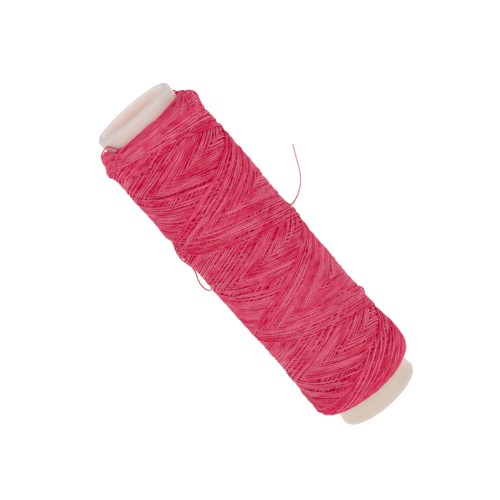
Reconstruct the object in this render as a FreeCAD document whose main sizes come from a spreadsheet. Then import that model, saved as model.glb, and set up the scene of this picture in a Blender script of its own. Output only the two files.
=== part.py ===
import FreeCAD, Part
import math
import os

import Sketcher

# Fishing line spool: a moulded tube without flanges, cross-wound with one length of line.
# Lengths are in millimetres. The tube's lower end face is z = 0 and its axis is the Z axis.
# The photographed side faces -Y.

SIZES = {
    # Moulded tube
    "tube_length": 69.8,
    "bore_radius": 6.6,
    "tube_wall": 1.25,
    "rim_proud": 0.2,
    "rim_height": 1.0,
    "rim_flare": 1.4,
    "rim_round": 0.9,
    "lip_round": 0.35,
    # Package of wound line
    "bare_end_lower": 4.3,
    "bare_end_upper": 2.6,
    "winding_depth": 2.15,
    "winding_round": 0.9,
    "line_diameter": 0.3,
    # Swollen rings where the line turns round at each end of its travel
    "ring_rise": 0.4,
    "ring_width": 4.4,
    "ring_setback": 0.1,
    # Courses: helical ribs of parallel turns, laid up and down the winding
    "course_lead": 21.4,
    "rising_width": 3.3,
    "falling_width": 4.8,
    "course_bevel": 0.5,
    "course_gap": 0.02,
    "course_inset": 0.3,
    "rising_start": 22.8,
    "falling_start": 83.4,
}
COURSE_STARTS = 4
FULL_TURN = 360.0

doc = FreeCAD.newDocument("fishing_line_spool")
sheet = doc.addObject("Spreadsheet::Sheet", "Sizes")
for row, (name, number) in enumerate(SIZES.items(), start=1):
    sheet.set(f"A{row}", str(number))
    sheet.setAlias(f"A{row}", name)
doc.recompute()


class Size:
    """A number from the sheet, or worked out from such numbers: its value and its expression."""

    def __init__(self, value, formula):
        self.value = value
        self.formula = formula

    def __add__(self, other):
        other = as_size(other)
        return Size(self.value + other.value, f"({self.formula} + {other.formula})")

    def __sub__(self, other):
        other = as_size(other)
        return Size(self.value - other.value, f"({self.formula} - {other.formula})")

    def __mul__(self, other):
        other = as_size(other)
        return Size(self.value * other.value, f"({self.formula} * {other.formula})")

    def __truediv__(self, other):
        other = as_size(other)
        return Size(self.value / other.value, f"({self.formula} / {other.formula})")


def as_size(term):
    """A plain number as a Size."""
    if isinstance(term, Size):
        return term
    return Size(float(term), repr(float(term)))


def from_sheet(name):
    """The Size that the sheet holds under an alias."""
    return Size(float(sheet.get(name)), f"{sheet.Name}.{name}")


tube_length = from_sheet("tube_length")
bore_radius = from_sheet("bore_radius")
tube_radius = bore_radius + from_sheet("tube_wall")
rim_radius = tube_radius + from_sheet("rim_proud")
rim_height = from_sheet("rim_height")
winding_depth = from_sheet("winding_depth")
line_diameter = from_sheet("line_diameter")
course_gap = from_sheet("course_gap")

# The winding's ends, and its levels from the outside in: rising courses, falling courses, packed line
winding_bottom = from_sheet("bare_end_lower")
winding_top = tube_length - from_sheet("bare_end_upper")
winding_round = from_sheet("winding_round")
winding_radius = tube_radius + winding_depth
rising_inner = winding_radius - line_diameter
falling_outer = rising_inner - course_gap
falling_inner = falling_outer - line_diameter
packed_radius = falling_inner - course_gap

# The rings of turns sit just past the winding's rounded ends, and the courses fill the stretch between
ring_width = from_sheet("ring_width")
ring_inset = winding_round + from_sheet("ring_setback") + ring_width / 2
lower_ring_middle = winding_bottom + ring_inset
upper_ring_middle = winding_top - ring_inset
course_lead = from_sheet("course_lead")
courses_bottom = lower_ring_middle + ring_width / 2 + from_sheet("course_inset")
courses_top = upper_ring_middle - ring_width / 2 - from_sheet("course_inset")


def new_body(label):
    """An empty body whose label is the piece's name."""
    body = doc.addObject("PartDesign::Body", label)
    body.Label = label
    return body


def upright_sketch(body, name):
    """An empty sketch on the body's XZ plane, so that across is the radius and up is the height."""
    plane = next(item for item in body.Origin.OriginFeatures if item.Role == "XZ_Plane")
    sketch = body.newObject("Sketcher::SketchObject", name)
    sketch.AttachmentSupport = [(plane, "")]
    sketch.MapMode = "FlatFace"
    return sketch


def hold_point(sketch, edge, end, across, up):
    """Hold one end of an edge at a distance across and up from the sketch's origin."""
    place = sketch.addConstraint(Sketcher.Constraint("DistanceX", -1, 1, edge, end, across.value))
    sketch.setExpression(f"Constraints[{place}]", across.formula)
    if up.value == 0:
        sketch.addConstraint(Sketcher.Constraint("PointOnObject", edge, end, -1))
        return
    place = sketch.addConstraint(Sketcher.Constraint("DistanceY", -1, 1, edge, end, up.value))
    sketch.setExpression(f"Constraints[{place}]", up.formula)


def straight_outline(sketch, corners):
    """A closed outline of straight edges, each corner held by its own two sizes."""
    points = [FreeCAD.Vector(across.value, up.value, 0) for across, up in corners]
    count = len(points)
    for edge in range(count):
        sketch.addGeometry(Part.LineSegment(points[edge], points[(edge + 1) % count]), False)
    for edge in range(count):
        sketch.addConstraint(Sketcher.Constraint("Coincident", edge, 2, (edge + 1) % count, 1))
    for edge, (across, up) in enumerate(corners):
        hold_point(sketch, edge, 1, across, up)


def full_revolution(body, sketch, name):
    """The sketch turned once round the Z axis."""
    turned = body.newObject("PartDesign::Revolution", name)
    turned.Profile = sketch
    turned.ReferenceAxis = (sketch, ["V_Axis"])
    turned.Angle = FULL_TURN
    doc.recompute()
    return turned


def circles_at(feature, radius, heights):
    """Names of the feature's circular edges that have this radius and one of these heights."""
    tolerance = 1e-4
    names = []
    for number, edge in enumerate(feature.Shape.Edges, start=1):
        if not isinstance(edge.Curve, Part.Circle):
            continue
        near_radius = abs(edge.Curve.Radius - radius.value) < tolerance
        near_height = any(abs(edge.Curve.Center.z - height.value) < tolerance for height in heights)
        if near_radius and near_height:
            names.append(f"Edge{number}")
    return names


def round_edges(body, feature, name, edges, radius):
    """A fillet on the named edges of a feature."""
    fillet = body.newObject("PartDesign::Fillet", name)
    fillet.Base = (feature, edges)
    fillet.Radius = radius.value
    fillet.setExpression("Radius", radius.formula)
    feature.Visibility = False
    doc.recompute()
    return fillet


def make_core_tube():
    """One moulded tube, open right through, with a slightly flared and rounded rim at each end."""
    body = new_body("core_tube")
    sketch = upright_sketch(body, "tube_wall")
    bottom = as_size(0)
    flare_end = rim_height + from_sheet("rim_flare")
    straight_outline(sketch, [
        (bore_radius, bottom),
        (rim_radius, bottom),
        (rim_radius, rim_height),
        (tube_radius, flare_end),
        (tube_radius, tube_length - flare_end),
        (rim_radius, tube_length - rim_height),
        (rim_radius, tube_length),
        (bore_radius, tube_length),
    ])
    wall = full_revolution(body, sketch, "tube_turned")
    ends = [bottom, tube_length]
    rims = round_edges(body, wall, "rim_rounds", circles_at(wall, rim_radius, ends), from_sheet("rim_round"))
    round_edges(body, rims, "lip_rounds", circles_at(rims, bore_radius, ends), from_sheet("lip_round"))
    return body


def make_wound_line():
    """The packed line below the visible courses, one closed ring that fits the tube."""
    body = new_body("wound_line")
    sketch = upright_sketch(body, "packed_section")
    straight_outline(sketch, [
        (tube_radius, winding_bottom),
        (packed_radius, winding_bottom),
        (packed_radius, winding_top),
        (tube_radius, winding_top),
    ])
    packed = full_revolution(body, sketch, "packed_turned")
    corners = circles_at(packed, packed_radius, [winding_bottom, winding_top])
    round_edges(body, packed, "end_rounds", corners, winding_round)
    return body


def make_turns(label, middle):
    """A ring of turns with an arched section, sitting on the packed line."""
    body = new_body(label)
    sketch = upright_sketch(body, f"{label}_section")
    rise = winding_radius + from_sheet("ring_rise") - packed_radius
    arch_radius = (ring_width * ring_width / 4 + rise * rise) / (rise * 2)
    low = middle - ring_width / 2
    high = middle + ring_width / 2
    foot = FreeCAD.Vector(packed_radius.value, low.value, 0)
    head = FreeCAD.Vector(packed_radius.value, high.value, 0)
    crest = FreeCAD.Vector(packed_radius.value + rise.value, middle.value, 0)
    seat = sketch.addGeometry(Part.LineSegment(foot, head), False)
    arch = sketch.addGeometry(Part.Arc(foot, crest, head), False)
    sketch.addConstraint(Sketcher.Constraint("Coincident", seat, 1, arch, 1))
    sketch.addConstraint(Sketcher.Constraint("Coincident", seat, 2, arch, 2))
    hold_point(sketch, seat, 1, packed_radius, low)
    hold_point(sketch, seat, 2, packed_radius, high)
    bend = sketch.addConstraint(Sketcher.Constraint("Radius", arch, arch_radius.value))
    sketch.setExpression(f"Constraints[{bend}]", arch_radius.formula)
    full_revolution(body, sketch, f"{label}_turned")
    return body


def make_course(label, inner, width, start_degrees, left_handed):
    """One helical rib, one line deep, from the lower ring of turns to the upper one. Its outer edges slope,
    because the turns at a rib's edge lie lower than those in its middle."""
    body = new_body(label)
    sketch = upright_sketch(body, f"{label}_section")
    outer = inner + line_diameter
    shoulder = inner + line_diameter / 3
    bevel = from_sheet("course_bevel")
    straight_outline(sketch, [
        (inner, as_size(0)),
        (shoulder, as_size(0)),
        (outer, bevel),
        (outer, width - bevel),
        (shoulder, width),
        (inner, width),
    ])
    rise = courses_top - courses_bottom - width
    band = body.newObject("PartDesign::AdditiveHelix", f"{label}_band")
    band.Profile = sketch
    band.ReferenceAxis = (sketch, ["V_Axis"])
    band.Mode = 0
    band.Pitch = course_lead.value
    band.setExpression("Pitch", course_lead.formula)
    band.Height = rise.value
    band.setExpression("Height", rise.formula)
    band.Angle = 0
    band.LeftHanded = left_handed
    up_axis = FreeCAD.Vector(0, 0, 1)
    turned = FreeCAD.Rotation(up_axis, start_degrees.value)
    body.Placement = FreeCAD.Placement(FreeCAD.Vector(0, 0, courses_bottom.value), turned)
    body.setExpression("Placement.Base.z", courses_bottom.formula)
    body.setExpression("Placement.Rotation.Angle", start_degrees.formula)
    doc.recompute()
    return body


# A loose line's arcs take up this share of the shorter run beside each corner
ARC_SHARE = 0.45


def rounded_path(points):
    """Straight runs joined by tangent arcs, as one wire, with the radius of each arc."""
    edges = []
    radii = []
    here = points[0]
    for before, corner, after in zip(points, points[1:], points[2:]):
        arriving = (corner - before).normalize()
        leaving = (after - corner).normalize()
        reach = ARC_SHARE * min((corner - before).Length, (after - corner).Length)
        half_turn = arriving.getAngle(leaving) / 2
        radius = reach / math.tan(half_turn)
        arc_start = corner - arriving * reach
        arc_end = corner + leaving * reach
        inward = (leaving - arriving).normalize()
        arc_middle = corner + inward * radius * (1 / math.cos(half_turn) - 1)
        edges.append(Part.LineSegment(here, arc_start).toShape())
        edges.append(Part.Arc(arc_start, arc_middle, arc_end).toShape())
        radii.append(radius)
        here = arc_end
    edges.append(Part.LineSegment(here, points[-1]).toShape())
    return Part.Wire(edges), radii


def make_line_piece(label, points):
    """A stretch of line that stands off the winding: a round tube along its route."""
    path, radii = rounded_path(points)
    line_radius = line_diameter.value / 2
    circle = Part.Circle(points[0], points[1] - points[0], line_radius)
    section = Part.Face(Part.Wire(circle.toShape()))
    tube = path.makePipe(section)
    expected = math.pi * line_radius ** 2 * path.Length
    print(label, "length", round(path.Length, 2), "tightest radius", round(min(radii), 2),
          "volume over section times length", round(tube.Volume / expected, 4))
    print("   radii", [round(radius, 2) for radius in radii])
    piece = doc.addObject("Part::Feature", label)
    piece.Label = label
    piece.Shape = tube
    piece.Placement = FreeCAD.Placement()
    return piece


def on_winding(degrees, depth_share, height):
    """A point at an angle from +X, a share of the winding's depth out from the tube, and a height."""
    angle = math.radians(degrees)
    radius = tube_radius.value + depth_share * winding_depth.value
    return FreeCAD.Vector(radius * math.cos(angle), radius * math.sin(angle), height)


# Stretches of line that slipped off or stand off the winding. Each point is an angle in degrees, a share
# of the winding's depth (0 on the tube, 1 on the winding's surface), and a height. The height counts
# ring insets over the winding's top for the first two, and course leads over the courses' foot for the rest.
EYE_LOOP = [
    (229, 0.61, 0.03),
    (222, 0.26, 0.09),
    (215, 0.16, 0.21),
    (209, 0.18, 0.34),
    (201, 0.205, 0.34),
    (192, 0.335, 0.25),
    (184, 0.545, 0.09),
    (177, 0.73, -0.10),
    (172, 0.90, -0.30),
    (166, 1.11, -0.53),
    (160, 1.27, -0.78),
]
SHOULDER_LOOP = [
    (309, 0.44, 0.05),
    (318, 0.51, 0.03),
    (327, 0.61, 0.0),
    (336, 0.72, -0.06),
    (344, 0.85, -0.16),
    (350, 1.05, -0.32),
    (355, 1.21, -0.51),
    (360, 1.30, -0.71),
    (365, 1.335, -0.94),
    (370, 1.31, -1.18),
    (376, 1.19, -1.50),
]
SIDE_LOOP_UPPER = [
    (345, 1.09, 1.336),
    (352, 1.12, 1.318),
    (358, 1.21, 1.290),
    (3, 1.22, 1.257),
    (7, 1.18, 1.226),
    (12, 1.15, 1.196),
    (18, 1.09, 1.168),
]
SIDE_LOOP_LOWER = [
    (345, 1.09, 0.430),
    (352, 1.12, 0.407),
    (358, 1.18, 0.374),
    (3, 1.18, 0.336),
    (8, 1.14, 0.304),
    (14, 1.09, 0.276),
]

# The loosened end of the line, from where it leaves the winding's face near the left edge: down and out
# in a slack loop, up beside the edge, round the back close to the winding, and out into the free tail
# on the right.
FREE_END = [
    (-9.2, -4.5, 37.6),
    (-9.6, -3.5, 37.15),
    (-9.9, -2.5, 36.75),
    (-10.3, -1.35, 36.35),
    (-10.8, -0.2, 36.25),
    (-11.1, 0.75, 36.9),
    (-11.15, 1.3, 37.85),
    (-10.85, 1.3, 38.95),
    (-10.35, 1.1, 40.05),
    (-10.15, 0.9, 41.2),
    (-10.45, 0.9, 42.4),
    (-10.75, 0.9, 43.55),
    (-10.65, 1.2, 44.75),
    (-10.15, 2.1, 46.1),
    (-9.2, 5.0, 46.7),
    (-6.8, 8.0, 45.9),
    (-3.6, 9.9, 45.0),
    (0.2, 10.5, 43.8),
    (3.9, 9.7, 42.6),
    (7.1, 7.7, 41.4),
    (9.3, 4.8, 40.2),
    (10.2, 2.2, 39.1),
    (10.35, 0.3, 38.35),
    (10.75, -1.0, 38.15),
    (11.45, -2.0, 38.8),
    (12.8, -2.9, 39.8),
    (14.2, -3.7, 41.2),
    (15.4, -4.3, 43.0),
    (16.45, -4.7, 45.0),
    (17.5, -5.1, 47.3),
]

pieces = [
    make_core_tube(),
    make_wound_line(),
    make_turns("lower_turns", lower_ring_middle),
    make_turns("upper_turns", upper_ring_middle),
]
rising_width = from_sheet("rising_width")
falling_width = from_sheet("falling_width")
for number in range(COURSE_STARTS):
    turned_on = number * FULL_TURN / COURSE_STARTS
    rising_angle = from_sheet("rising_start") + turned_on
    falling_angle = from_sheet("falling_start") + turned_on
    rising = make_course(f"rising_course_{number + 1}", rising_inner, rising_width, rising_angle, False)
    falling = make_course(f"falling_course_{number + 1}", falling_inner, falling_width, falling_angle, True)
    pieces += [rising, falling]

for label, base, unit, route in [
    ("eye_loop", winding_top, ring_inset, EYE_LOOP),
    ("shoulder_loop", winding_top, ring_inset, SHOULDER_LOOP),
    ("side_loop_upper", courses_bottom, course_lead, SIDE_LOOP_UPPER),
    ("side_loop_lower", courses_bottom, course_lead, SIDE_LOOP_LOWER),
]:
    points = [on_winding(degrees, share, base.value + up * unit.value) for degrees, share, up in route]
    pieces.append(make_line_piece(label, points))
pieces.append(make_line_piece("free_end", [FreeCAD.Vector(*point) for point in FREE_END]))

doc.recompute()

for item in doc.Objects:
    if "Invalid" in item.State or "Error" in item.State:
        raise RuntimeError(f"{item.Label} failed to recompute: {item.State}")
for piece in pieces:
    if piece.Shape.isNull() or not piece.Shape.isValid():
        raise RuntimeError(f"{piece.Label} has no valid shape")

os.makedirs("parts", exist_ok=True)
for piece in pieces:
    piece.Shape.exportStep(os.path.join("parts", f"{piece.Label}.step"))
    box = piece.Shape.BoundBox
    print(piece.Label, "solids", len(piece.Shape.Solids), "volume", round(piece.Shape.Volume, 2),
          "low", [round(value, 2) for value in (box.XMin, box.YMin, box.ZMin)],
          "high", [round(value, 2) for value in (box.XMax, box.YMax, box.ZMax)])
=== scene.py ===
import math

import bpy
import numpy as np
from mathutils import Matrix, Vector


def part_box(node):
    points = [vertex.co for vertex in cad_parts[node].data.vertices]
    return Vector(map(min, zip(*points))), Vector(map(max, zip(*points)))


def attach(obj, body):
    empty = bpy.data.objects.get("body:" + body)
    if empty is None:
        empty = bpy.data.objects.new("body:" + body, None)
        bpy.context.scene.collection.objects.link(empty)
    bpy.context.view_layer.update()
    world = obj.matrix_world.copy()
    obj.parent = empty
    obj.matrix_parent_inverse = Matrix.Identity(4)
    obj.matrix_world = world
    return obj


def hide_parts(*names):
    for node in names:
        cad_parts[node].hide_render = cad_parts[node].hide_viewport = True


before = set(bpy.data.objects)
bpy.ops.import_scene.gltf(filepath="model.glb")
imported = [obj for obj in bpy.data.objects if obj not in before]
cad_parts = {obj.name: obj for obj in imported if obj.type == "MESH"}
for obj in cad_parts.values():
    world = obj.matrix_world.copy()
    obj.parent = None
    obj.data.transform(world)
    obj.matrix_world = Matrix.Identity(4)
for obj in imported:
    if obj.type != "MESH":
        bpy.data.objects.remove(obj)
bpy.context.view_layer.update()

MM = 0.001

# Camera. It looks slightly down on the upright spool and is turned on its own axis, so that the spool lies
# across the picture from the upper left to the lower right.
CAMERA_TARGET = (-0.39 * MM, 0.0, 36.83 * MM)
CAMERA_DISTANCE = 400 * MM
CAMERA_ELEVATION = 13.64
CAMERA_ROLL = -41.25
SENSOR_WIDTH = 36.0
PHOTO_WIDTH_PIXELS = 500
PIXELS_PER_METRE = 5588


def placed(name, data):
    """An object at the origin that shows a mesh, curve, lamp or camera."""
    item = bpy.data.objects.new(name, data)
    bpy.context.scene.collection.objects.link(item)
    return item


lens = bpy.data.cameras.new("camera")
lens.sensor_width = SENSOR_WIDTH
lens.lens = SENSOR_WIDTH * PIXELS_PER_METRE * CAMERA_DISTANCE / PHOTO_WIDTH_PIXELS
lens.clip_start = 10 * MM
lens.clip_end = 20.0
camera = placed("camera", lens)
camera.matrix_world = (
    Matrix.Translation(CAMERA_TARGET)
    @ Matrix.Rotation(math.radians(90 - CAMERA_ELEVATION), 4, "X")
    @ Matrix.Rotation(math.radians(CAMERA_ROLL), 4, "Z")
    @ Matrix.Translation((0, 0, CAMERA_DISTANCE))
)
bpy.context.scene.camera = camera
bpy.context.scene.view_settings.view_transform = "Standard"


# Core tube. One milky, slightly see-through plastic moulding, open right through, satin on its outside.
# The line's colour shines faintly through the wall where the winding begins; this light is painted into the
# wall's colour as a warm tint outside and pink inside, with a painted glow on the inner wall and under the
# upper shoulder.
TUBE_COLOUR = (0.61, 0.545, 0.53)
TUBE_CLOUD_COLOUR = (0.59, 0.52, 0.49)
TUBE_WARM_LIGHT_COLOUR = (0.65, 0.52, 0.45)
TUBE_LOWER_COLOUR = (0.468, 0.405, 0.360)
TUBE_PINK_LIGHT_COLOUR = (0.60, 0.44, 0.40)
TUBE_PAINTED_GLOW_COLOUR = (0.20, 0.21, 0.20)
TUBE_PINK_PAINTED_GLOW_COLOUR = (0.19, 0.15, 0.13)
TUBE_SHOULDER_PAINTED_GLOW_COLOUR = (0.14, 0.125, 0.10)
TUBE_CLOUD_SCALE = 90.0
TUBE_PEEL_SCALE = 1400.0
TUBE_PEEL_HEIGHT = 0.01 * MM
TUBE_INSIDE = 6.9 * MM
TUBE_INSIDE_FADE = 4 * MM**2
TUBE_MIDDLE = 34.9 * MM
LOWER_COLOUR_FADE = 30 * MM
WARM_FROM_MIDDLE = 34.5 * MM
WARM_FADE = 3.5 * MM
WARM_LOSS_BELOW = 0.8
PINK_TOP = 69.2 * MM
SHOULDER_GLOW_TOP = 68.4 * MM
GLOW_FADE = 1.2 * MM


class Socket:
    """A shader value: the operators add the Math nodes that work them out."""

    def __init__(self, finish, socket):
        self.finish = finish
        self.socket = socket

    def maths(self, operation, *values):
        return self.finish.add("ShaderNodeMath", {"operation": operation}, values)

    def __add__(self, other):
        return self.maths("ADD", self, other)

    def __radd__(self, other):
        return self.maths("ADD", other, self)

    def __sub__(self, other):
        return self.maths("SUBTRACT", self, other)

    def __rsub__(self, other):
        return self.maths("SUBTRACT", other, self)

    def __mul__(self, other):
        return self.maths("MULTIPLY", self, other)

    def __abs__(self):
        return self.maths("ABSOLUTE", self)

    def clamped(self):
        return self.finish.add("ShaderNodeClamp", {}, [self])

    def fade(self, none, full):
        """A share: 0 where the value is none, 1 where it is full, straight between and level outside."""
        return ((self - none) * (1 / (full - none))).clamped()


class Finish:
    """A material, or the sky, under construction."""

    def __init__(self, owner, shader="Principled BSDF"):
        owner.use_nodes = True
        self.owner = owner
        self.nodes = owner.node_tree.nodes
        self.links = owner.node_tree.links
        self.shader = self.nodes[shader]

    def add(self, kind, settings, values, output=0):
        """One node: its settings first, then its sockets' values or links, and the output that is wanted."""
        node = self.nodes.new(kind)
        for setting, value in settings.items():
            setattr(node, setting, value)
        pairs = values.items() if isinstance(values, dict) else enumerate(values)
        for place, value in pairs:
            self.join(value, node.inputs[place])
        return Socket(self, node.outputs[output])

    def join(self, value, target):
        if isinstance(value, Socket):
            self.links.new(value.socket, target)
        else:
            target.default_value = value

    def set(self, **sockets):
        for name, value in sockets.items():
            self.join(value, self.shader.inputs[name.replace("_", " ")])

    def place(self, output="Object"):
        return self.add("ShaderNodeTexCoord", {}, {}, output)

    def parts(self, vector):
        """X, Y and Z of a vector."""
        node = self.add("ShaderNodeSeparateXYZ", {}, [vector]).socket.node
        return [Socket(self, output) for output in node.outputs]

    def noise(self, place, scale, detail):
        return self.add("ShaderNodeTexNoise", {}, {"Vector": place, "Scale": scale, "Detail": detail})

    def blend_colour(self, factor, first, second):
        first = (*first, 1) if isinstance(first, tuple) else first
        second = (*second, 1) if isinstance(second, tuple) else second
        values = {0: factor, 6: first, 7: second}
        return self.add("ShaderNodeMix", {"data_type": "RGBA"}, values, output=2)

    def bump(self, height, distance, strength):
        return self.add("ShaderNodeBump", {}, {"Height": height, "Distance": distance, "Strength": strength})


def tube_plastic():
    """Milky plastic: cloudy in broad patches, darker and warmer towards the lower end, with a faint orange
    peel. Light from the line is painted in: a warm tint next to the winding's ends, pink on the inner wall,
    and a painted glow on the inner wall and under the upper shoulder.
    """
    finish = Finish(bpy.data.materials.new("milky_plastic"))
    place = finish.place()
    east, north, height = finish.parts(place)
    inside = (east * east + north * north).fade(TUBE_INSIDE**2, TUBE_INSIDE**2 - TUBE_INSIDE_FADE)
    lower_end = height.fade(TUBE_MIDDLE, TUBE_MIDDLE - LOWER_COLOUR_FADE)
    near_winding = abs(height - TUBE_MIDDLE).fade(WARM_FROM_MIDDLE, WARM_FROM_MIDDLE - WARM_FADE)
    # Painted light: next to the winding's ends the outer wall takes a warm tint for the light that the pink
    # line casts onto it, less at the lower end.
    warm = near_winding * (1 - lower_end * WARM_LOSS_BELOW) * (1 - inside)
    through_wall = height.fade(PINK_TOP, PINK_TOP - GLOW_FADE)
    under_shoulder = height.fade(SHOULDER_GLOW_TOP, SHOULDER_GLOW_TOP - GLOW_FADE) * (1 - inside)
    cloud = finish.noise(place, TUBE_CLOUD_SCALE, 3.0)
    colour = finish.blend_colour(cloud, TUBE_COLOUR, TUBE_CLOUD_COLOUR)
    colour = finish.blend_colour(lower_end, colour, TUBE_LOWER_COLOUR)
    colour = finish.blend_colour(warm, colour, TUBE_WARM_LIGHT_COLOUR)
    # Painted light: below the winding's top the inner wall takes the pink of the line shining through the
    # wall.
    colour = finish.blend_colour(inside * through_wall, colour, TUBE_PINK_LIGHT_COLOUR)
    # Painted glow: the inner wall glows, pinker below the winding's top, and the outer wall glows under the
    # upper shoulder, lifting shade as light through the milky wall would.
    glow = finish.blend_colour(through_wall, TUBE_PAINTED_GLOW_COLOUR, TUBE_PINK_PAINTED_GLOW_COLOUR)
    glow = finish.blend_colour(inside, (0, 0, 0), glow)
    glow = finish.blend_colour(under_shoulder, glow, TUBE_SHOULDER_PAINTED_GLOW_COLOUR)
    peel = finish.noise(place, TUBE_PEEL_SCALE, 2.0)
    finish.set(
        Base_Color=colour,
        Roughness=0.38,
        Normal=finish.bump(peel, TUBE_PEEL_HEIGHT, 0.3),
        Subsurface_Weight=0.5,
        Subsurface_Radius=(1.3, 1.1, 1.0),
        Subsurface_Scale=1.2 * MM,
        Emission_Color=glow,
        Emission_Strength=1.0,
    )
    return finish.owner


core_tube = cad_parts["core_tube"]
core_tube.data.materials.clear()
core_tube.data.materials.append(tube_plastic())


# Wound line. One continuous length, cross-wound under tension from end to end and back, each double stroke
# landing a line's width beside the last, so that the strokes cross in a herringbone. It holds on the tube by
# its own tension.
LINE_STRETCHED = 0.28 * MM
LINE_HALF_WIDTH = 0.152 * MM
LINE_HALF_HEIGHT = 0.115 * MM
LINE_FLATNESS = 0.95
LINE_SIDES = 8
NUMBER_STEP = 1.37
LEAD = 21.4 * MM
LOWER_ROW = 14.6 * MM
UPPER_ROW = 57.4 * MM
ROW_ANGLE = 93.0
END_SLOPE = 0.15
STROKE_SPACING = 0.33 * MM
LAYERS = 2.2
COURSES = 4
END_TURNS = 0.3
MESH_STEP = 12

# How evenly the strokes are laid. The reversals stay within a band at each end, strays are given as knots
# per turn and size, and a few strokes leave an open gap, given in millimetres, beside the next.
UPPER_REVERSAL = 0.12 * MM
UPPER_REVERSAL_BAND = 2.7 * MM
LOWER_REVERSAL = 0.05 * MM
LOWER_REVERSAL_BAND = 2.6 * MM
STROKES_PER_SWING = 5
SWING = 1.6
JUMP_SHARE = 0.2
STRAYS = [(7, 0.06 * MM), (1.3, 0.10 * MM), (1 / 5, 0.10 * MM)]
WANDER_KNOTS = 1.1
WANDER_SIZE = 0.9 * MM
WANDER_ABOVE = 1.35
TURNS_BETWEEN_WANDERS = 9
CALM_END = 1.7 * MM
CALM_SHARE = 0.25
CLOSE_SPACING = 0.27 * MM
SPACING_SPREAD = 0.02 * MM
SPACING_DRIFT = 0.03 * MM
STROKES_PER_DRIFT = 9
OPEN_SHARE = 0.17
OPEN_GAPS = (0.18, 0.52)

# The package: the line laid earlier is a cylinder with a swelling near each end, and the whole winding has
# radii between listed heights. A bulge has an angle, a height, the reach of both and a rise, in degrees and
# millimetres.
PACKED_RADIUS = 9.1 * MM
PACKED_SWELLING = 0.42 * MM
PACKED_SWELLING_REACH = 1.9 * MM
PACKED_SWELLING_HEIGHTS = (63.7 * MM, 7.4 * MM)
PACKED_MARGIN = 0.2 * MM
PACKED_ROUNDING = 2.2 * MM
PACKED_ROUNDING_POWER = 2.3
PACKAGE_HEIGHTS = np.array((4.2, 4.8, 6, 8, 10, 12, 16, 22, 30, 40, 50, 58, 62, 64, 66, 66.9, 67.4)) * MM
PACKAGE_RADII = np.array(
    (8.6, 9.6, 10.18, 10.35, 10.3, 10.1, 10.0, 9.95, 10.05, 10.05, 10.15, 10.25, 10.12, 10.5, 9.8, 9.0, 8.1)
) * MM
BULGES = [
    (-90, 44.8, 25, 1.9, 0.42),
    (-90, 55.5, 50, 6.5, -0.22),
    (-90, 47.0, 30, 1.2, -0.3),
    (90, 50.5, 50, 4.0, 0.12),
    (90, 36.8, 25, 1.9, 0.34),
    (90, 17.8, 25, 2.0, 0.18),
    (-90, 64.8, 30, 1.0, -0.2),
    (-90, 66.2, 30, 0.9, -0.3),
    (108, 66.8, 30, 0.8, -0.6),
    (90, 62.5, 50, 2.5, -0.1),
    (-90, 5.4, 40, 1.2, 0.3),
]
LEAST_ROOM = 0.35 * MM
LEAST_SCALE = 0.2
MOST_SCALE = 1.6
PROUD_LIMIT = 0.14 * MM

# How one stroke settles on the others: how many double cells it may slip sideways and what that costs, over
# how many samples it stays taut and with what bend, how deep it presses in, and how broadly it is smoothed.
MOST_SLIP = 6
SLIP_COST = 1.2 / MM
TAUT_REACH = 32
TAUT_BEND = 0.2
PRESS = 0.02 * MM
SLIP_SMOOTHING = 39
LINE_SMOOTHING = 15
BROAD_BLUR = (49, 101)
FINE_BLUR = (11, 21)

winding_low, winding_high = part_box("wound_line")
winding_bottom = winding_low.z
winding_top = winding_high.z
tube_radius = 7.85 * MM

# The height field that the strokes are laid on, with its steps round the winding, in degrees, and up it.
ANGLE_STEP = 0.5
PER_TURN = round(360 / ANGLE_STEP)
HALF_STROKE_TURNS = 3
HALF_STROKE = HALF_STROKE_TURNS * PER_TURN
CELL = 0.025 * MM
FIELD_MARGIN = 1.3 * MM
FIELD_BOTTOM = winding_bottom - FIELD_MARGIN
CELLS_UP = round((winding_top + FIELD_MARGIN - FIELD_BOTTOM) / CELL)
cell_heights = FIELD_BOTTOM + np.arange(CELLS_UP) * CELL


def smooth_noise(rng, count, knots, size):
    """Random heights at evenly spaced knots, joined by S-shaped steps 3f^2 - 2f^3 through count samples."""
    heights = rng.normal(0, size, knots + 2)
    where = np.linspace(0, knots, count, endpoint=False)
    knot = where.astype(int)
    share = where - knot
    share = share * share * (3 - 2 * share)
    return heights[knot] * (1 - share) + heights[knot + 1] * share


def smoothed(values, width):
    """Each value becomes the mean of its neighbours, weighted by a bell of the given width in samples."""
    bell = np.hanning(width + 2)[1:-1]
    padded = np.pad(values, width // 2, "edge")
    return np.convolve(padded, bell / bell.sum(), "valid")


def drifting(rng, count):
    """Shares between 0 and 1 that drift slowly from one to the next and now and then jump."""
    drift = 0.5 + 0.5 * np.sin(smooth_noise(rng, count, count // STROKES_PER_SWING, SWING))
    return (1 - JUMP_SHARE) * drift + JUMP_SHARE * rng.random(count)


def packed_surface(height):
    """Radius of the line laid earlier, at a height: a cylinder with swellings, rounded off towards the tube
    by 1 - (1 - s)^power, where s runs from 0 just outside the winding's end to 1 further in."""
    swelling = sum(np.exp(-(((height - up) / PACKED_SWELLING_REACH) ** 2)) for up in PACKED_SWELLING_HEIGHTS)
    body = PACKED_RADIUS + PACKED_SWELLING * swelling
    from_bottom = np.clip((height - winding_bottom + PACKED_MARGIN) / PACKED_ROUNDING, 0, 1)
    from_top = np.clip((winding_top + PACKED_MARGIN - height) / PACKED_ROUNDING, 0, 1)
    rounding = 1 - (1 - from_bottom) ** PACKED_ROUNDING_POWER
    rounding = rounding * (1 - (1 - from_top) ** PACKED_ROUNDING_POWER)
    return tube_radius + (body - tube_radius) * rounding


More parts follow.
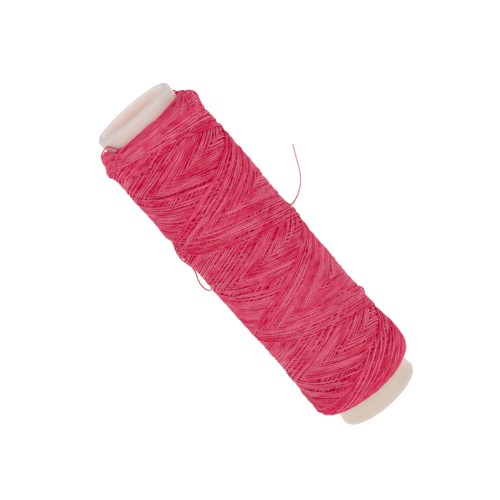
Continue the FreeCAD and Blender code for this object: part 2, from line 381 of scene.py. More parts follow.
def package_radius(angle, height):
    """Radius of the whole winding, read between listed heights, with low bulges and hollows: each adds its
    rise times exp(-(a / w)^2 - (z / h)^2), with a and z the angle and height from its middle."""
    radius = np.interp(height, PACKAGE_HEIGHTS, PACKAGE_RADII)
    for degrees, up, wide, tall, rise in BULGES:
        beside = (angle - degrees + 180) % 360 - 180
        above = height / MM - up
        radius = radius + rise * MM * np.exp(-((beside / wide) ** 2) - (above / tall) ** 2)
    return radius


def blurred(field, widths):
    """Mean over bells whose widths are given in samples round and up; the field's end meets its start."""
    for width in widths:
        bell = np.hanning(width + 2)[1:-1]
        spectrum = np.fft.rfft(bell / bell.sum(), len(field))[:, None]
        mean = np.fft.irfft(np.fft.rfft(field, axis=0) * spectrum, len(field), axis=0)
        field = np.roll(mean, -(width // 2), axis=0).T
    return field


def eased(share, slope):
    """A cubic from 0 to 1 that starts with the given slope and ends with the end slope, nearly level."""
    third = slope + END_SLOPE - 2
    second = 3 - 2 * slope - END_SLOPE
    return third * share**3 + second * share**2 + slope * share


def half_stroke(bottom, top):
    """Height along three turns from the lower reversal to the upper one: a straight helix of the lead
    between the two crossing rows, and an eased half turn beyond each of them."""
    turns = np.arange(HALF_STROKE) / PER_TURN - 0.5
    body = LOWER_ROW + LEAD * turns
    below = LOWER_ROW - bottom
    above = top - UPPER_ROW
    sinking = eased(np.clip(-turns / 0.5, 0, 1), LEAD * 0.5 / below)
    climbing = eased(np.clip((turns - 2) / 0.5, 0, 1), LEAD * 0.5 / above)
    height = np.where(turns < 0, LOWER_ROW - below * sinking, body)
    return np.where(turns > 2, UPPER_ROW + above * climbing, height)


def settled(radius, angle, height, broad_top):
    """Radius after the package has pressed together: depths inside it are scaled by the room between the
    packed surface and the package's radius over the room that the line took up, and what still stands
    proud by p is held to L tanh(p / L)."""
    inside = packed_surface(height)
    outside = package_radius(angle, height)
    room = np.maximum(broad_top - inside, LEAST_ROOM)
    radius = inside + (radius - inside) * np.clip((outside - inside) / room, LEAST_SCALE, MOST_SCALE)
    proud = np.maximum(radius - outside, 0)
    return radius - proud + PROUD_LIMIT * np.tanh(proud / PROUD_LIMIT)


def stroke_heights(rng, strokes):
    """Heights along every half stroke, up and down in turn, with the strays of a line laid by a guide."""
    tops = winding_top - UPPER_REVERSAL - UPPER_REVERSAL_BAND * drifting(rng, strokes)
    bottoms = winding_bottom - LOWER_REVERSAL + LOWER_REVERSAL_BAND * drifting(rng, strokes)
    heights = np.empty((strokes, 2, HALF_STROKE))
    for stroke in range(strokes):
        heights[stroke, 0] = half_stroke(bottoms[stroke], tops[stroke])
        heights[stroke, 1] = half_stroke(bottoms[(stroke + 1) % strokes], tops[stroke])[::-1]
    heights = heights.ravel()
    count = heights.size
    turns = count / PER_TURN
    stray = sum(smooth_noise(rng, count, int(turns * knots), size) for knots, size in STRAYS)
    wander = smooth_noise(rng, count, int(turns * WANDER_KNOTS), WANDER_SIZE)
    now_and_then = smooth_noise(rng, count, int(turns / TURNS_BETWEEN_WANDERS), 1.0)
    stray += wander * np.clip(now_and_then - WANDER_ABOVE, 0, 1)
    near_end = np.minimum(heights - winding_bottom, winding_top - heights) / CALM_END
    return (heights + stray * np.clip(near_end, CALM_SHARE, 1)).reshape(strokes * 2, HALF_STROKE)


def stroke_angles(rng, strokes):
    """Angles along every half stroke: each double stroke lands one spacing beside the last."""
    spacing = CLOSE_SPACING + SPACING_SPREAD * rng.random(strokes)
    spacing += np.abs(smooth_noise(rng, strokes, strokes // STROKES_PER_DRIFT, SPACING_DRIFT))
    opens = rng.random(strokes) < OPEN_SHARE
    spacing[opens] += rng.uniform(*OPEN_GAPS, opens.sum()) * MM
    shifts = 360 * spacing / LEAD
    first_angle = ROW_ANGLE + shifts.sum() - np.cumsum(shifts)
    starts = np.repeat(first_angle, 2) + np.tile([-180, 360 * HALF_STROKE_TURNS - 180], strokes)
    full_steps = np.full(strokes, ANGLE_STEP)
    return_steps = ANGLE_STEP * (1 - np.roll(shifts, -1) / (360 * HALF_STROKE_TURNS))
    steps = np.stack([full_steps, return_steps], 1).ravel()
    return starts[:, None] + np.arange(HALF_STROKE) * steps[:, None]


def lay_line():
    """Angles, heights and radii of every half stroke, laid one on the other, and the finished surface.

    A height field over angle and height holds the package's surface. Each half stroke slips sideways to
    where that surface is lowest, rests on it as a round line does, stays taut over hollows by dropping at
    most bend times angle^2 / 2 from what holds it up, and is then added to the surface."""
    rng = np.random.default_rng(11)
    strokes = int(LEAD / STROKE_SPACING * LAYERS)
    heights = stroke_heights(rng, strokes)
    angles = stroke_angles(rng, strokes)

    line_radius = LINE_STRETCHED / 2
    reach = round(line_radius / CELL)
    taps = np.arange(-reach, reach + 1)
    arch = np.sqrt(np.maximum(line_radius**2 - (taps * CELL) ** 2, 0))
    surface = np.repeat(packed_surface(cell_heights)[None, :], PER_TURN, 0)
    slips = np.arange(-MOST_SLIP, MOST_SLIP + 1) * 2
    slip_cost = ((slips * CELL) ** 2 * SLIP_COST)[:, None]
    span = np.arange(-TAUT_REACH, TAUT_REACH + 1, 2)
    span_drop = TAUT_BEND * np.radians(span * ANGLE_STEP) ** 2 / 2
    radii = np.empty_like(heights)
    for row in range(len(heights)):
        column_of = np.round(angles[row] / ANGLE_STEP).astype(int) % PER_TURN
        cell = np.round((heights[row] - FIELD_BOTTOM) / CELL).astype(int)
        near = np.clip((cell + slips[:, None])[:, :, None] + taps, 0, CELLS_UP - 1)
        seats = (surface[column_of[None, :, None], near] + arch).max(-1)
        seats = np.array([smoothed(seat, SLIP_SMOOTHING) for seat in seats])
        slip = slips[(seats + slip_cost).argmin(0)] * CELL
        heights[row] += smoothed(slip, SLIP_SMOOTHING)
        cell = np.round((heights[row] - FIELD_BOTTOM) / CELL).astype(int)
        near = np.clip(cell[:, None] + taps, 0, CELLS_UP - 1)
        seat = (surface[column_of[:, None], near] + arch).max(-1)
        taut = np.max([np.roll(seat, step) - drop for step, drop in zip(span, span_drop)], axis=0)
        radii[row] = smoothed(taut, LINE_SMOOTHING) - PRESS
        laid = np.maximum(surface[column_of[:, None], near], radii[row][:, None] + arch)
        surface[column_of[:, None], near] = laid

    broad_top = blurred(surface, BROAD_BLUR)
    column_of = np.round(angles / ANGLE_STEP).astype(int) % PER_TURN
    cell = np.clip(np.round((heights - FIELD_BOTTOM) / CELL).astype(int), 0, CELLS_UP - 1)
    radii = settled(radii, angles, heights, broad_top[column_of, cell])
    heights = smoothed(heights.ravel(), LINE_SMOOTHING).reshape(heights.shape)
    radii = smoothed(radii.ravel(), LINE_SMOOTHING).reshape(radii.shape)
    column_angles = np.arange(PER_TURN)[:, None] * ANGLE_STEP
    surface = settled(surface, column_angles, cell_heights, broad_top)
    return angles, heights, radii, blurred(surface, FINE_BLUR)


def places(angles, heights, radii):
    """Points from angles in degrees from the front, -Y, turning towards +X, with heights and radii."""
    turned = np.radians(angles)
    return np.stack([radii * np.sin(turned), -radii * np.cos(turned), heights], -1)


def depth_below(surface, points):
    """How far points lie below the winding's finished surface: its radius there less theirs."""
    column_of = np.degrees(np.arctan2(points[:, 0], -points[:, 1])) / ANGLE_STEP
    cell = (points[:, 2] - FIELD_BOTTOM) / CELL
    cell = np.clip(np.round(cell).astype(int), 0, CELLS_UP - 1)
    return surface[np.round(column_of).astype(int) % PER_TURN, cell] - np.hypot(points[:, 0], points[:, 1])


def smooth_mesh(name, vertices, faces):
    mesh = bpy.data.meshes.new(name)
    mesh.from_pydata(vertices, [], faces)
    mesh.polygons.foreach_set("use_smooth", np.ones(len(mesh.polygons), bool))
    return mesh


def line_tubes(name, centres, half_height, half_width, flatness=1.0, surface=None):
    """Oval tubes along many centre lines at once, shape (lines, points, 3). A ring of points stands round
    each centre: the radial direction times the half height and the cosine, raised to the flatness with its
    sign kept, plus the sideways direction times the half width and the sine. The UV map holds the length
    along the line in centimetres and a number of the line's own, and the attribute depth how far a point
    lies below the surface, or below its own ring's top, in millimetres."""
    lines, points = centres.shape[:2]
    along = np.gradient(centres, axis=1)
    along /= np.linalg.norm(along, axis=-1, keepdims=True)
    outward = centres * (1, 1, 0)
    outward = outward - (outward * along).sum(-1, keepdims=True) * along
    outward /= np.linalg.norm(outward, axis=-1, keepdims=True)
    sideways = np.cross(along, outward)
    turn = np.arange(LINE_SIDES) * 2 * np.pi / LINE_SIDES
    upright = np.sign(np.cos(turn).round(6)) * np.abs(np.cos(turn)) ** flatness
    ring = outward[:, :, None] * (half_height * upright)[:, None]
    ring += sideways[:, :, None] * (half_width * np.sin(turn))[:, None]
    vertices = (centres[:, :, None] + ring).reshape(-1, 3)
    number = np.arange(lines * points * LINE_SIDES).reshape(lines, points, LINE_SIDES)
    across = np.roll(number, -1, axis=2)
    quads = np.stack([number[:, :-1], across[:, :-1], across[:, 1:], number[:, 1:]], -1).reshape(-1, 4)
    caps = np.concatenate([number[:, 0, ::-1], number[:, -1]])
    mesh = smooth_mesh(name, vertices, quads.tolist() + caps.tolist())
    length = np.cumsum(np.linalg.norm(np.diff(centres, axis=1, prepend=centres[:, :1]), axis=-1), axis=1)
    length = np.repeat(length[:, :, None], LINE_SIDES, 2).ravel() / (10 * MM)
    own_number = np.repeat(np.arange(lines), points * LINE_SIDES) * NUMBER_STEP
    corners = np.empty(len(mesh.loops), int)
    mesh.loops.foreach_get("vertex_index", corners)
    layer = mesh.uv_layers.new(name="line")
    layer.data.foreach_set("uv", np.stack([length[corners], own_number[corners]], -1).ravel())
    # Loose strands count their sides as deep, so the line's painted gap shade falls on them.
    depths = np.tile(half_height * (1 - upright), lines * points)
    if surface is not None:
        depths = depth_below(surface, vertices)
    mesh.attributes.new("depth", "FLOAT", "POINT").data.foreach_set("value", depths / MM)
    return placed(name, mesh)


# The line's colours, with its painted gap shade and painted gap glow, and how pale it is from strand to
# strand, along each and over the winding, partly random tone and partly painted sheen. Depths are in
# millimetres below the surface.
LINE_DEEP = (0.605, 0.004, 0.070)
LINE_PALE = (0.672, 0.116, 0.202)
LOWER_PALE = (0.655, 0.07, 0.155)
LINE_GAP_SHADE = (0.43, 0.0, 0.034)
LINE_GAP_PAINTED_GLOW = (0.12, 0.0, 0.014)
STREAK_SCALE = 2.2
BAND_SCALE = 3.0
BAND_WIDTH = 0.055
PATCH_SCALE = 600.0
GAP_DEPTH = 1 / 6
TOP_DEPTH = 1 / 36
COAT_DEPTH = 1 / 16
STREAK_PALENESS = 0.8
BAND_PALENESS = 2.6
PATCH_PALENESS = 0.8
PALENESS_OFFSET = 1.405
SIDE_SHEEN_LOSS = 0.1 / (10 * MM) ** 2
HEIGHT_LOSS = 0.24 / (60 * MM)
FOOT_LOSS = 0.3
FOOT_TOP = 8.5 * MM
FOOT_FADE = 4 * MM


def line_finish(name, pale, variety):
    """Glossy soft line: each strand has its own depth of colour, with streaks along it, bands over several
    strands and paler patches, partly random tone and partly painted sheen. A painted highlight makes it paler
    on top, less so towards the left and right sides, higher up and at the foot. Painted shade makes it deepest
    in the gaps, and a painted glow fills them for light through the line."""
    finish = Finish(bpy.data.materials.new(name))
    on_strand = finish.add("ShaderNodeUVMap", {"uv_map": "line"}, {})
    along, strand, _ = finish.parts(on_strand)
    own = finish.add("ShaderNodeTexWhiteNoise", {"noise_dimensions": "1D"}, {"W": strand})
    streak = finish.noise(on_strand, STREAK_SCALE, 3.0)
    over_strands = finish.add("ShaderNodeCombineXYZ", {}, [along, strand * BAND_WIDTH, 0.0])
    band = finish.noise(over_strands, BAND_SCALE, 2.0)
    place = finish.place()
    east, _, up = finish.parts(place)
    patch = finish.noise(place, PATCH_SCALE, 3.0)
    depth = finish.add("ShaderNodeAttribute", {"attribute_name": "depth"}, {}, output="Fac")
    above_gap_shade = depth.fade(GAP_DEPTH, TOP_DEPTH)
    on_top = depth.fade(COAT_DEPTH, 0)
    at_foot = up.fade(FOOT_TOP, FOOT_TOP - FOOT_FADE)
    # Pale tone: partly each strand's random tone and streaks, partly painted sheen in bands and patches and a
    # painted highlight on the strands' tops, with less painted sheen towards the sides, higher up and at the
    # foot.
    tone_and_sheen = (own - 0.5) * variety + streak * STREAK_PALENESS + band * BAND_PALENESS
    tone_and_sheen = tone_and_sheen + patch * PATCH_PALENESS - PALENESS_OFFSET
    tone_and_sheen = tone_and_sheen - east * east * SIDE_SHEEN_LOSS - up * HEIGHT_LOSS - at_foot * FOOT_LOSS
    tone_and_sheen = (above_gap_shade * tone_and_sheen).clamped()
    # Painted shade: strand sides and the hollows between strands darken to the gap colour.
    deep = finish.blend_colour((above_gap_shade * 2).clamped(), LINE_GAP_SHADE, LINE_DEEP)
    finish.set(
        Base_Color=finish.blend_colour(tone_and_sheen, deep, pale),
        # Painted glow in the gaps, for light let through the line.
        Emission_Color=finish.blend_colour(above_gap_shade, LINE_GAP_PAINTED_GLOW, (0, 0, 0)),
        Emission_Strength=1.0,
        Roughness=0.34,
        Specular_IOR_Level=0.0,
        Coat_Weight=on_top * 0.35,
        Coat_Roughness=0.3,
        Subsurface_Weight=0.4,
        Subsurface_Radius=(1.0, 0.25, 0.3),
        Subsurface_Scale=0.45 * MM,
    )
    return finish.owner


def dress(piece, material, node):
    """Finish a piece of the line: its material, its body and the node that it stands for."""
    piece.data.materials.append(material)
    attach(piece, "root")
    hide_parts(node)


def wound_tubes(name, centres, material, node):
    """Flattened tubes along stretches of the wound line, with a ring at every twelfth sample."""
    centres = centres[:, ::MESH_STEP]
    tubes = line_tubes(name, centres, LINE_HALF_HEIGHT, LINE_HALF_WIDTH, LINE_FLATNESS, finished)
    dress(tubes, material, node)


line_pink = line_finish("pink_line", LINE_PALE, variety=0.65)
lower_pink = line_finish("lower_pink_line", LOWER_PALE, variety=1.3)
angles, heights, radii, finished = lay_line()
centres = places(angles, heights, radii)
rising = centres[0::2]
falling = centres[1::2]
end_part = int(END_TURNS * PER_TURN)
body_part = slice(end_part, HALF_STROKE - end_part + 1)
by_age = np.array_split(np.arange(len(rising)), COURSES)
for number, course in enumerate(by_age, start=1):
    for way, lines in [("rising", rising), ("falling", falling)]:
        wound_tubes(f"{way}_line_{number}", lines[course][:, body_part], line_pink, f"{way}_course_{number}")
upper = np.concatenate([rising[:, -end_part:], falling[:, :end_part]], axis=1)
lower = np.concatenate([falling[:-1, -end_part:], rising[1:, :end_part]], axis=1)
wound_tubes("upper_turns_line", upper, line_pink, "upper_turns")
wound_tubes("lower_turns_line", lower, lower_pink, "lower_turns")


# Line laid earlier. It closes the hollows between the strands that are seen, down to the tube.
PACKED_ROWS = 260
PACKED_ANGLE_STEP = 2.0
PACKED_BELOW_STRANDS = 0.05 * MM
PACKED_LOWER_GAP = 0.2 * MM
PACKED_UPPER_GAP = 0.5 * MM
RIDGE_HEIGHT = 0.03 * MM
RIDGE_SPACING = 0.5 * MM
PACKED_PATCH_SCALE = 400.0
PACKED_DEEP_COLOUR = (0.50, 0.002, 0.05)
PACKED_COLOUR = (0.60, 0.003, 0.06)
PACKED_PAINTED_GLOW = (0.155, 0.0, 0.019)


def packed_ring():
    """A closed ring round the tube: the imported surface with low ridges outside, the tube's radius inside."""
    up = np.linspace(winding_bottom + PACKED_LOWER_GAP, winding_top - PACKED_UPPER_GAP, PACKED_ROWS)
    around = np.radians(np.arange(0, 360, PACKED_ANGLE_STEP))
    ridges = RIDGE_HEIGHT * np.cos(2 * np.pi * up / RIDGE_SPACING)
    outside = packed_surface(up) - PACKED_BELOW_STRANDS + ridges
    profile_r = np.concatenate([outside, [tube_radius, tube_radius]])
    profile_z = np.concatenate([up, [up[-1], up[0]]])
    vertices = np.stack([
        profile_r[None, :] * np.sin(around)[:, None],
        -profile_r[None, :] * np.cos(around)[:, None],
        np.broadcast_to(profile_z, (len(around), len(profile_z))),
    ], -1)
    number = np.arange(vertices.shape[0] * vertices.shape[1]).reshape(vertices.shape[:2])
    beside = np.roll(number, -1, axis=0)
    above = np.roll(number, -1, axis=1)
    both = np.roll(beside, -1, axis=1)
    quads = np.stack([number, beside, both, above], -1).reshape(-1, 4)
    return placed("packed_line", smooth_mesh("packed_line", vertices.reshape(-1, 3), quads.tolist()))


def packed_finish():
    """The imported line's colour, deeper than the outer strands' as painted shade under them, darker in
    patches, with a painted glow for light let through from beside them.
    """
    finish = Finish(bpy.data.materials.new("packed_line"))
    patch = finish.noise(finish.place(), PACKED_PATCH_SCALE, 2.0)
    finish.set(
        Base_Color=finish.blend_colour(patch, PACKED_DEEP_COLOUR, PACKED_COLOUR),
        Emission_Color=finish.blend_colour(patch, LINE_GAP_PAINTED_GLOW, PACKED_PAINTED_GLOW),
        Emission_Strength=1.0,
        Roughness=0.6,
        Specular_IOR_Level=0.0,
    )
    return finish.owner


dress(packed_ring(), packed_finish(), "wound_line")


# Last turns. The turns laid last lie over both shoulders and hold by their own tension: under the upper rim
# they spread as a fan, and at the lower end they come down to the rim one beside the other. Their courses are
# given as angle and height, in degrees and millimetres.
LOOSE_PALE = (0.70, 0.145, 0.235)
STRAND_POINTS = 64
DEEPER = (0.994, 0.994, 1)
FAN_TOP = [
    (-62, 64.9), (-50, 65.9), (-30, 66.7), (0, 66.95), (30, 66.9), (60, 66.6), (85, 65.8), (105, 64.9),
    (120, 63.9),
]
FAN_FOOT = [
    (-62, 63.9), (-50, 64.6), (-30, 64.5), (0, 63.7), (30, 62.5), (60, 61.1), (85, 60.0), (105, 59.2),
    (120, 58.4),
]
FAN_STRANDS = 11
FAN_STEP = 0.7
FAN_STEP_SPREAD = 0.2
FAN_WIDE_STEP = 0.6
FAN_WIDE_SHARE = 0.3
FAN_STRAY = 0.05
LANDING_COURSE = [(-6, 4.5), (4, 4.75), (15, 5.15), (28, 5.8), (45, 7.0), (62, 8.4), (80, 10.1), (92, 11.3)]
LANDINGS = (-66, -55, -43, -34, -19, -9, 4, 12, 27, 37, 52, 63, 77)
STRAND_RISE = 0.09
STRAND_DIVE = 0.25


def strand_along(route):
    """Smooth line through (degrees, radius, height) points: between two of them runs the cubic
    p + f (q-o)/2 + f^2 (2o - 5p + 4q - r)/2 + f^3 (3p - 3q + r - o)/2, with o and r the points outside."""
    points = np.array(route, float) * (1, MM, MM)
    padded = np.concatenate([2 * points[:1] - points[1:2], points, 2 * points[-1:] - points[-2:-1]])
    along = np.linspace(0, len(points) - 1, STRAND_POINTS)
    step = np.minimum(along.astype(int), len(points) - 2)
    share = (along - step)[:, None]
    before, start, end, after = (padded[step + k] for k in range(4))
    place = (
        start
        + share * (end - before) / 2
        + share**2 * (2 * before - 5 * start + 4 * end - after) / 2
        + share**3 * (3 * start - 3 * end + after - before) / 2
    )
    degrees, radius, height = place.T
    return places(degrees, height, radius)


loose_pink = line_finish("loose_pink_line", LOOSE_PALE, variety=1.3)


def loose_strands(name, routes, node, packed=False):
    """Round tubes along routes, in the winding's line. Packed strands have one more between each two
    neighbours, a little deeper."""
    centres = np.stack([strand_along(route) for route in routes])
    if packed:
        between = (centres[1:] + centres[:-1]) / 2 * DEEPER
        centres = np.concatenate([centres, between])
    dress(line_tubes(name, centres, LINE_STRETCHED / 2, LINE_STRETCHED / 2), loose_pink, node)


def on_surface(angles, heights):
    """Routes that lie on the winding's surface and dive under it at both ends."""
    radii = package_radius(angles, heights * MM) / MM + STRAND_RISE
    radii[:, [0, -1]] -= STRAND_DIVE
    return np.stack([angles, radii, heights], -1)


def fan_routes():
    """Routes that share out the room between the fan's top and its foot unevenly, some with a wide step."""
    rng = np.random.default_rng(5)
    top = np.array(FAN_TOP, float)
    foot = np.array(FAN_FOOT, float)
    steps = FAN_STEP + FAN_STEP_SPREAD * rng.random(FAN_STRANDS)
    steps += FAN_WIDE_STEP * (rng.random(FAN_STRANDS) < FAN_WIDE_SHARE)
    shares = np.cumsum(steps) / steps.sum()
    heights = top[:, 1] + (foot[:, 1] - top[:, 1]) * shares[:, None]
    heights += rng.normal(0, FAN_STRAY, heights.shape)
    return on_surface(np.broadcast_to(top[:, 0], heights.shape), heights)


def landing_routes():
    """Routes of the turns that come down to the lower rim: one course, shifted to each landing."""
    course = np.array(LANDING_COURSE, float)
    angles = np.array(LANDINGS, float)[:, None] + course[:, 0]
    return on_surface(angles, np.broadcast_to(course[:, 1], angles.shape))


loose_strands("upper_fan_strands", fan_routes(), "upper_turns")
loose_strands("landing_strands", landing_routes(), "lower_turns")


# Loose strands. On the left an eye of line has slipped over the upper shoulder, on the right and along the
# front the last turn stands off the tube, and two small loops stand off the right side. They are the same line
# as the winding, held by the turns around them, and given as angle, radius and height.
EYE_OUTER_STRAND = [
    (-36, 9.35, 66.5), (-41, 8.9, 66.89), (-48, 8.35, 67.3), (-55, 8.18, 67.88), (-61, 8.23, 68.3),
    (-69, 8.29, 68.3), (-78, 8.57, 68.0), (-86, 9.02, 67.5), (-93, 9.42, 66.89), (-98, 9.77, 66.25),
    (-104, 10.16, 65.51), (-110, 10.4, 64.67), (-118, 10.2, 63.6),
]
EYE_STRANDS = [
    [(-66, 8.6, 67.7), (-72, 8.62, 67.8), (-79, 8.8, 67.5), (-86, 9.05, 67.1), (-93, 9.45, 66.55),
     (-99, 9.8, 65.9), (-106, 10.2, 65.1), (-116, 10.2, 63.9)],
    [(-60, 8.6, 67.3), (-66, 8.45, 67.5), (-73, 8.55, 67.5), (-80, 8.85, 67.14), (-86, 9.15, 66.72),
     (-92, 9.5, 66.2), (-99, 9.9, 65.5), (-112, 10.2, 64.2)],
    [(-38, 9.6, 66.4), (-44, 9.45, 66.64), (-53, 9.0, 66.99), (-63, 8.85, 67.04), (-75, 9.0, 66.98),
     (-84, 9.35, 66.5), (-93, 9.7, 65.9), (-102, 10.0, 65.1), (-112, 10.2, 64.1)],
    [(-40, 9.9, 66.0), (-46, 9.7, 66.39), (-59, 9.35, 66.73), (-73, 9.35, 66.6), (-80, 9.5, 66.2),
     (-90, 9.75, 65.6), (-100, 10.05, 64.8), (-110, 10.15, 63.9)],
    [(-42, 10.1, 65.8), (-48, 9.98, 66.09), (-60, 9.68, 66.36), (-70, 9.68, 66.17), (-76, 9.8, 65.86),
     (-86, 9.95, 65.3), (-96, 10.15, 64.5), (-108, 10.15, 63.6)],
    [(-44, 10.25, 65.4), (-52, 10.1, 65.75), (-62, 9.95, 65.85), (-72, 10.0, 65.6), (-82, 10.15, 65.05),
     (-92, 10.3, 64.3), (-104, 10.15, 63.3)],
    [(-46, 10.35, 65.0), (-55, 10.32, 65.35), (-66, 10.35, 65.3), (-76, 10.45, 64.95), (-86, 10.52, 64.3),
     (-96, 10.45, 63.5), (-106, 10.15, 62.7)],
    [(-50, 10.45, 64.6), (-58, 10.45, 64.85), (-68, 10.5, 64.75), (-78, 10.55, 64.3), (-88, 10.55, 63.6),
     (-98, 10.4, 62.8), (-108, 10.1, 62.0)],
]
SHOULDER_STRANDS = [
    [(-56, 10.6, 64.3), (-55, 10.6, 64.95), (-52, 10.4, 65.57), (-48.5, 10.12, 66.18), (-44, 9.65, 66.69),
     (-39.5, 9.25, 66.92), (-33.5, 8.95, 67.11), (-24.5, 8.72, 67.15), (-15, 8.6, 67.2), (1, 8.55, 67.25),
     (21, 8.6, 67.1), (29, 8.68, 67.14), (38, 8.78, 67.23), (47, 8.92, 67.25), (56.5, 9.12, 67.16),
     (64, 9.35, 67.0), (74, 9.65, 66.69), (80, 10.1, 66.17), (85, 10.44, 65.58), (90, 10.65, 64.94),
     (95, 10.72, 64.19), (99, 10.68, 63.42), (106, 10.4, 62.4)],
    [(-46, 9.35, 66.5), (-38, 8.95, 66.75), (-30, 8.7, 66.9), (-15, 8.45, 67.0), (0, 8.38, 67.02),
     (20, 8.38, 66.97), (38, 8.5, 66.97), (56, 8.8, 66.88), (70, 9.2, 66.55)],
    [(66, 9.5, 66.7), (61, 9.72, 66.5), (49.5, 10.1, 66.04), (40.3, 10.3, 65.51), (34, 10.35, 65.0)],
    [(61, 9.85, 66.4), (58.5, 10.05, 66.08), (53, 10.35, 65.16), (49.6, 10.5, 64.35), (47, 10.4, 63.8)],
    [(80, 9.4, 66.7), (84, 9.2, 66.74), (92, 8.6, 66.6), (100, 8.4, 66.86), (110, 8.6, 67.11),
     (122, 8.8, 67.1)],
    [(62, 9.75, 66.42), (70, 9.85, 66.3), (78, 10.19, 65.88), (84, 10.4, 65.25), (90, 10.45, 64.45),
     (97, 10.3, 63.6)],
]
SIDE_STRANDS = {
    "side_loop_upper": [(72, 9.8, 38.9), (78, 10.15, 38.5), (84, 10.34, 38.0), (88, 10.46, 37.55),
                        (93, 10.47, 36.9), (97, 10.4, 36.25), (102, 10.32, 35.6), (108, 10.15, 35.0),
                        (113, 9.8, 34.6)],
    "side_loop_lower": [(72, 9.8, 19.6), (78, 10.1, 19.1), (84, 10.28, 18.5), (89, 10.4, 17.9),
                        (93, 10.4, 17.2), (98, 10.3, 16.5), (104, 10.12, 15.9), (110, 9.8, 15.4)],
}

loose_strands("eye_outer_strand", [EYE_OUTER_STRAND], "eye_loop")
loose_strands("eye_strands", EYE_STRANDS, "eye_loop", packed=True)
loose_strands("shoulder_strands", SHOULDER_STRANDS, "shoulder_loop")
for node, route in SIDE_STRANDS.items():
    loose_strands(node + "_strand", [route], node)


# Free end. The line's loosened end leaves the winding near the left edge, hangs off it in a slack loop,
# lies round the back and stands off the right side as a springy tail. It is one soft strand.
LINE_DIAMETER = 0.3 * MM
FREE_LIT_THROUGH_PALE = (0.60, 0.33, 0.31)
FREE_HALF_LIT_THROUGH = (0.58, 0.17, 0.18)
FREE_ROOT = (0.66, 0.05, 0.12)
LOOSENED_FROM = 10.25 * MM
LOOSENED_TO = 10.8 * MM
CLEAR_FROM = 9.8 * MM
CLEAR_FADE = 2 / 3 * MM
FREE_PATCH_SCALE = 300.0
FREE_END = [
    (-0.0092, -0.0045, 0.0376),
    (-0.0096, -0.0035, 0.03715),
    (-0.0099, -0.0025, 0.03675),
    (-0.0103, -0.00135, 0.03635),
    (-0.0108, -0.0002, 0.03625),
    (-0.0111, 0.00075, 0.0369),
    (-0.01115, 0.0013, 0.03785),
    (-0.01085, 0.0013, 0.03895),
    (-0.01035, 0.0011, 0.04005),
    (-0.01015, 0.0009, 0.0412),
    (-0.01045, 0.0009, 0.0424),
    (-0.01075, 0.0009, 0.04355),
    (-0.01065, 0.0012, 0.04475),
    (-0.01015, 0.0021, 0.0461),
    (-0.0092, 0.005, 0.0467),
    (-0.0068, 0.008, 0.0459),
    (-0.0036, 0.0099, 0.045),
    (0.0002, 0.0105, 0.0438),
    (0.0039, 0.0097, 0.0426),
    (0.0071, 0.0077, 0.0414),
    (0.0093, 0.0048, 0.0402),
    (0.0101, 0.0024, 0.0391),
    (0.01025, 0.0006, 0.0384),
    (0.0105, -0.0008, 0.0382),
    (0.0113, -0.0019, 0.03865),
    (0.0129, -0.0029, 0.03955),
    (0.0145, -0.0037, 0.0411),
    (0.0156, -0.0043, 0.043),
    (0.01645, -0.0047, 0.045),
    (0.0175, -0.0051, 0.0473),
]


def free_line(name, route, diameter):
    """A round cord along one open NURBS spline of order 3 whose control points are the route."""
    curve = bpy.data.curves.new(name, "CURVE")
    curve.dimensions = "3D"
    curve.bevel_depth = diameter / 2
    curve.bevel_resolution = 3
    curve.use_fill_caps = True
    spline = curve.splines.new("NURBS")
    spline.points.add(len(route) - 1)
    for point, place in zip(spline.points, route):
        point.co = (*place, 1)
    spline.order_u = 3
    spline.use_endpoint_u = True
    spline.resolution_u = 8
    return placed(name, curve)


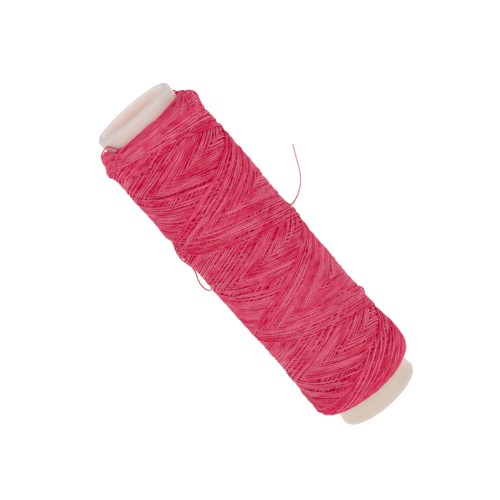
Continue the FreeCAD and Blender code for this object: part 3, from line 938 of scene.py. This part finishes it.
def free_line_finish():
    """A single strand lets light through: that light is painted in, so the strand's colour is paler, in
    patches, the further it stands off the winding.
    """
    finish = Finish(bpy.data.materials.new("free_line"))
    place = finish.place()
    east, north, _ = finish.parts(place)
    loosened = (east * east + north * north).fade(LOOSENED_FROM**2, LOOSENED_TO**2)
    clear = east.fade(CLEAR_FROM, CLEAR_FROM + CLEAR_FADE)
    patch = finish.noise(place, FREE_PATCH_SCALE, 2.0)
    # Painted light: the strand is paler where it stands off the winding, palest, in patches, where it stands
    # clear on the right.
    colour = finish.blend_colour(loosened, FREE_ROOT, FREE_HALF_LIT_THROUGH)
    colour = finish.blend_colour(clear * (0.8 + patch * 0.4), colour, FREE_LIT_THROUGH_PALE)
    finish.set(Base_Color=colour, Roughness=0.35)
    return finish.owner


free_end = free_line("free_end_line", FREE_END, LINE_DIAMETER)
dress(free_end, free_line_finish(), "free_end")


# Floor and light. A plain white floor, soft white light from all round, a little weaker from both sides, and
# a soft box on either side.
FLOOR_HALF = 4.0
SKY_STRENGTH = 0.89
SKY_SIDE_LOSS = 0.45
BOX_AIM = (0, 0, 0.035)
BOX_SIZE = 0.25


def floor_finish():
    """Plain white, lifted by a faint glow so that only a soft shadow is left at the foot."""
    finish = Finish(bpy.data.materials.new("white_floor"))
    grain = finish.noise(finish.place(), 3.0, 2.0)
    finish.set(
        Base_Color=finish.blend_colour(grain, (0.49, 0.49, 0.49), (0.51, 0.51, 0.51)),
        Roughness=0.9,
        Specular_IOR_Level=0.0,
        Emission_Color=(1, 1, 1, 1),
        Emission_Strength=0.7,
    )
    return finish.owner


def soft_light(name, place, power):
    """A square area light that faces the spool."""
    light = bpy.data.lights.new(name, "AREA")
    light.size = BOX_SIZE
    light.energy = power
    lamp = placed(name, light)
    lamp.location = place
    lamp.rotation_euler = (Vector(place) - Vector(BOX_AIM)).to_track_quat("Z", "Y").to_euler()


floor_mesh = bpy.data.meshes.new("floor")
floor_corners = [(x * FLOOR_HALF, y * FLOOR_HALF, 0) for x, y in [(-1, -1), (1, -1), (1, 1), (-1, 1)]]
floor_mesh.from_pydata(floor_corners, [], [(0, 1, 2, 3)])
floor_mesh.materials.append(floor_finish())
floor = placed("floor", floor_mesh)

sky = Finish(bpy.data.worlds.new("soft_sky"), "Background")
sky_east, _, _ = sky.parts(sky.place("Generated"))
sky.set(Color=(1, 1, 1, 1), Strength=SKY_STRENGTH - sky_east * sky_east * SKY_SIDE_LOSS)
bpy.context.scene.world = sky.owner

soft_light("left_box", (-0.46, -0.36, 0.25), 0.85)
soft_light("right_box", (0.46, -0.36, 0.25), 0.75)
